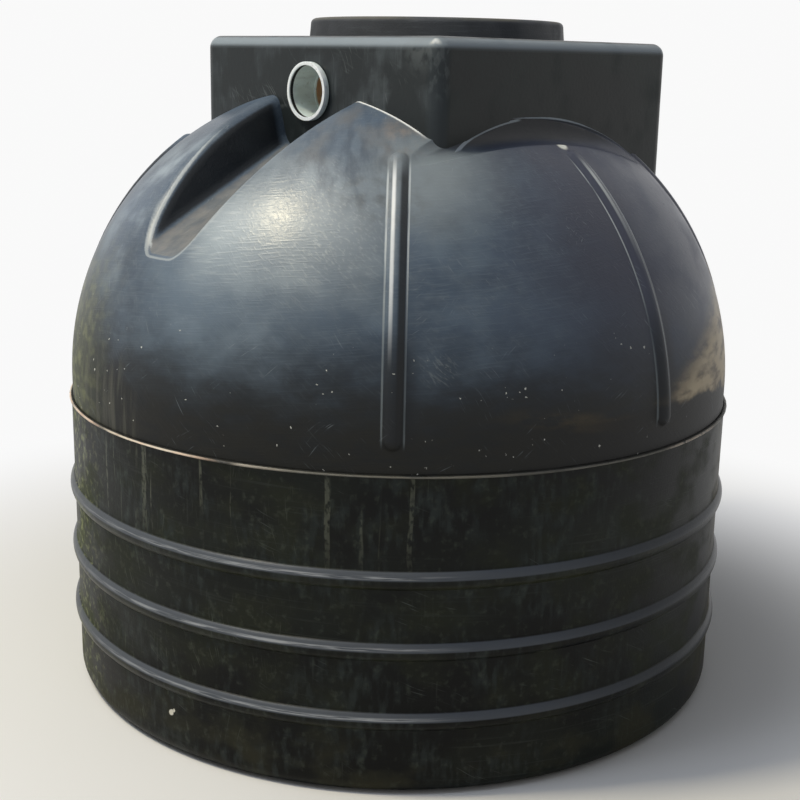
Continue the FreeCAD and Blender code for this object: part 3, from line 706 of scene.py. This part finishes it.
# Extruded brown PVC: satin, with a dull tan film of dried scum and lengthwise drawing lines. The
# lines are under 1 mm wide in life and are drawn 5 mm wide, so that they show.
drain_skin, tree, shader = plastic("brown_drain_pvc", pvc_ior, 0.5)
here = (add(tree, "ShaderNodeTexCoord", {}), "Object")
film = marks(tree, here, (90, 90, 90), 0.34, 0.64, detail=7.0)
drawn = marks(tree, here, (5, 5, 160), 0.45, 0.65, shift=4.0)
colour = layered(tree, "#b98a66", [
    ("#cdb696", 0.80, film),
    ("#9c6d4c", 0.35, drawn)])
rough = add(tree, "ShaderNodeMapRange", {"Value": film, "To Min": 0.34, "To Max": 0.56})
bump = add(tree, "ShaderNodeBump", {"Strength": 0.10, "Distance": 0.001, "Height": film})
wire(tree, shader, colour, (rough, "Result"), (bump, "Normal"))
dress(drain_skin, drain_nodes)

# Studio: a plain pale floor that runs out to white, one soft lamp high on the left for the sheen
# on the dome's shoulder with a wider one round it, and an even pale sky.
floor_radius = 40
backdrop_strength = 0.95
sky_strength = 0.18
lamp_side = (-0.444, 0.306, 0.842)


def background_seen(tree):
    """1 for what the camera sees by itself, in a reflection or through glass, and 0 for lighting."""
    rays = add(tree, "ShaderNodeLightPath", {})
    clear = add(tree, "ShaderNodeMath", {0: (rays, "Is Camera Ray"), 1: (rays, "Is Glossy Ray")},
                operation="MAXIMUM")
    seen = add(tree, "ShaderNodeMath", {0: (clear, 0), 1: (rays, "Is Transmission Ray")},
               operation="MAXIMUM")
    return (seen, 0)


def lamp(name, aim, direction, distance, width, colour, radiance):
    """Square soft lamp that looks at aim; radiance is what a mirror would show."""
    data = bpy.data.lights.new(name, "AREA")
    data.size = width
    data.energy = radiance * math.pi * width ** 2
    data.color = linear(colour)[:3]
    lit = bpy.data.objects.new(name, data)
    lit.location = Vector(aim) + Vector(direction).normalized() * distance
    lit.rotation_mode = "QUATERNION"
    lit.rotation_quaternion = Vector(direction).to_track_quat("Z", "Y")
    bpy.context.scene.collection.objects.link(lit)


# Matt pale paint under the tank, which gives way to plain white from 0.9 m to 2.2 m out.
bpy.ops.mesh.primitive_circle_add(vertices=128, radius=floor_radius, fill_type="NGON",
                                  location=(0, 0, -0.0005))
floor = bpy.context.object
floor.name = "studio_floor"
floor_paint, tree, shader = plastic("pale_studio_floor", 1.45, 0.1)
shader.inputs["Base Color"].default_value = linear("#f2f2f1")
shader.inputs["Roughness"].default_value = 0.9
here = (add(tree, "ShaderNodeTexCoord", {}), "Object")
away = add(tree, "ShaderNodeVectorMath", {0: here}, operation="LENGTH")
white = add(tree, "ShaderNodeEmission", {"Color": linear("#ffffff"), "Strength": backdrop_strength})
outside = both(tree, background_seen(tree), ramp(tree, (away, "Value"), 0.9, 2.2))
paint = add(tree, "ShaderNodeMixShader", {0: outside, 1: (shader, "BSDF"), 2: (white, "Emission")})
tree.links.new(paint.outputs[0], tree.nodes["Material Output"].inputs["Surface"])
floor.data.materials.append(floor_paint)

world = bpy.data.worlds.new("studio_sky")
world.use_nodes = True
bpy.context.scene.world = world
tree = world.node_tree
sky = tree.nodes["Background"]
strength = add(tree, "ShaderNodeMapRange", {"Value": background_seen(tree), "To Min": sky_strength,
                                            "To Max": backdrop_strength})
tree.links.new(strength.outputs["Result"], sky.inputs["Strength"])
sky.inputs["Color"].default_value = linear("#ffffff")

lamp("sheen_lamp", sheen_centre, lamp_side, distance=4.5, width=0.6, colour="#fff0cb", radiance=108.0)
lamp("wide_lamp", (-0.545, -0.262, 1.120), lamp_side, distance=4.6, width=3.0, colour="#eaf2ff",
     radiance=3.8)
lamp("sky_lamp", (0.0, 0.0, 0.8), (-0.25, -0.15, 1.0), distance=4.5, width=4.5, colour="#dfeaff",
     radiance=0.40)

# Camera: placed where the photograph was taken, a little above the tank and looking down at it.
# Its angles are pitch from straight down, roll and heading, in degrees.
eye_place = (-2.21488, -2.26730, 1.42380)
eye_angles = (75.7775, -1.0663, -44.1457)
eye = bpy.data.cameras.new("photo_eye")
eye.lens = 60.06
eye.sensor_width = 36.0
camera = bpy.data.objects.new("photo_eye", eye)
camera.rotation_euler = Euler([math.radians(angle) for angle in eye_angles])
camera.location = eye_place
bpy.context.scene.collection.objects.link(camera)
bpy.context.scene.camera = camera
bpy.context.scene.view_settings.view_transform = "Standard"
